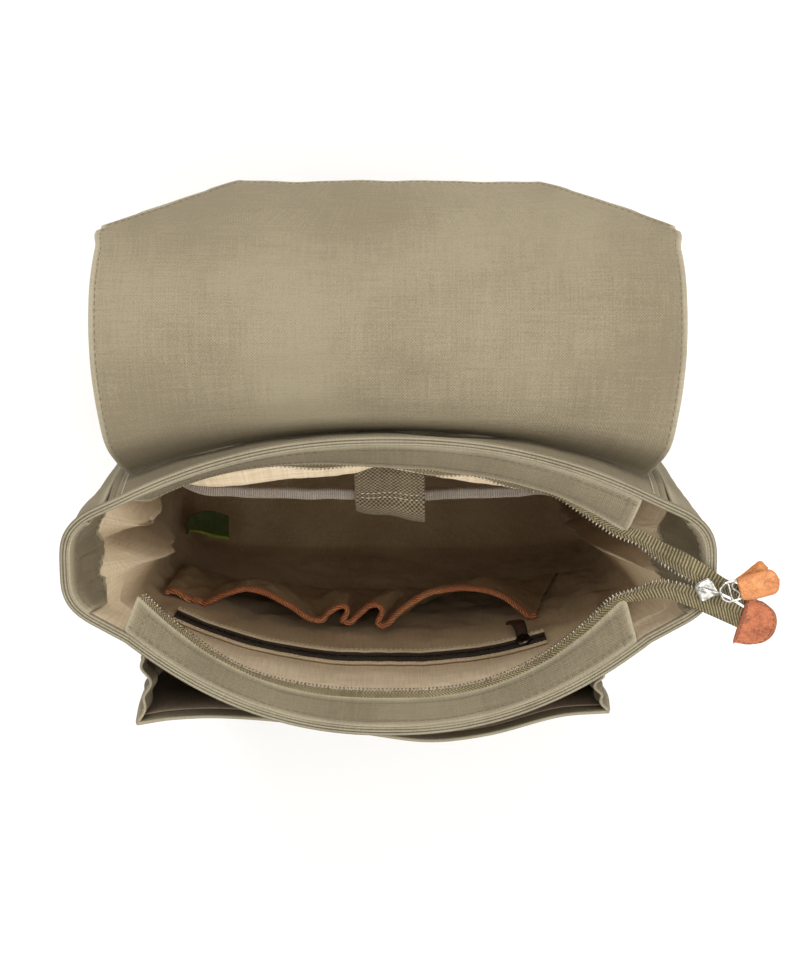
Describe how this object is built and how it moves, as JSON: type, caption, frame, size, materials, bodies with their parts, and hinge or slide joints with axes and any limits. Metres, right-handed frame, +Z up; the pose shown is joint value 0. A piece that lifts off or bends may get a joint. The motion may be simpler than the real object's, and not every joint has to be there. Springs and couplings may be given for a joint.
{
  "type": "canvas backpack",
  "caption": "Open canvas backpack with a thrown-back flap, zipped mouth with a free tail, padded sleeve, organiser pockets, front bellows pocket and shoulder straps.",
  "frame": {"origin": "middle of the flat base on the floor, in line with the middle of the side seams at the rim", "axes": "+Z up, -Y towards the front pocket, +Y towards the wearer's back, +X to the right as seen from the front"},
  "size_m": [0.3943, 0.3187, 0.4106],
  "materials": {
    "olive_canvas": "plain woven, matt",
    "tan_lining": "fine woven, matt",
    "grey_binding": "woven tape",
    "webbing": "coarse woven webbing",
    "orange_binding": "twill tape",
    "zip_tape": "herringbone tape",
    "dark_tape": "woven tape",
    "tan_leather": "smooth, stitched",
    "dark_leather": "smooth",
    "zip_metal": "satin",
    "dark_metal": "satin",
    "green_label": "woven label, bare",
    "buckle_plastic": "moulded, matt"
  },
  "bodies": {
    "root": {"base_panel": "olive_canvas", "front_panel": "olive_canvas", "back_panel": "olive_canvas", "left_gusset": "olive_canvas", "right_gusset": "olive_canvas", "lining": "tan_lining", "left_facing": "olive_canvas", "right_facing": "olive_canvas", "rim_welt": "olive_canvas", "front_zip_band": "olive_canvas", "back_zip_band": "olive_canvas", "front_zip_tape": "zip_tape", "back_zip_tape": "zip_tape", "front_zip_teeth": "zip_metal", "back_zip_teeth": "zip_metal", "zip_slider": "zip_metal", "zip_pull_frame": "zip_metal", "zip_pull_leather": "tan_leather", "zip_end_tab": "tan_leather", "sleeve_panel": "tan_lining", "sleeve_binding": "grey_binding", "sleeve_strap": "webbing", "organiser_panel": "tan_lining", "organiser_binding": "orange_binding", "inner_zip": "dark_tape", "inner_zip_slider": "dark_metal", "inner_zip_pull": "dark_leather", "label": "green_label", "flap": "olive_canvas", "pocket_front": "olive_canvas", "pocket_gusset_left": "olive_canvas", "pocket_gusset_right": "olive_canvas", "shoulder_strap_left": "olive_canvas", "shoulder_strap_right": "olive_canvas", "strap_webbing_left": "webbing", "strap_webbing_right": "webbing", "strap_buckle_left": "buckle_plastic", "strap_buckle_right": "buckle_plastic", "grab_handle": "olive_canvas"}
  },
  "joints": []
}
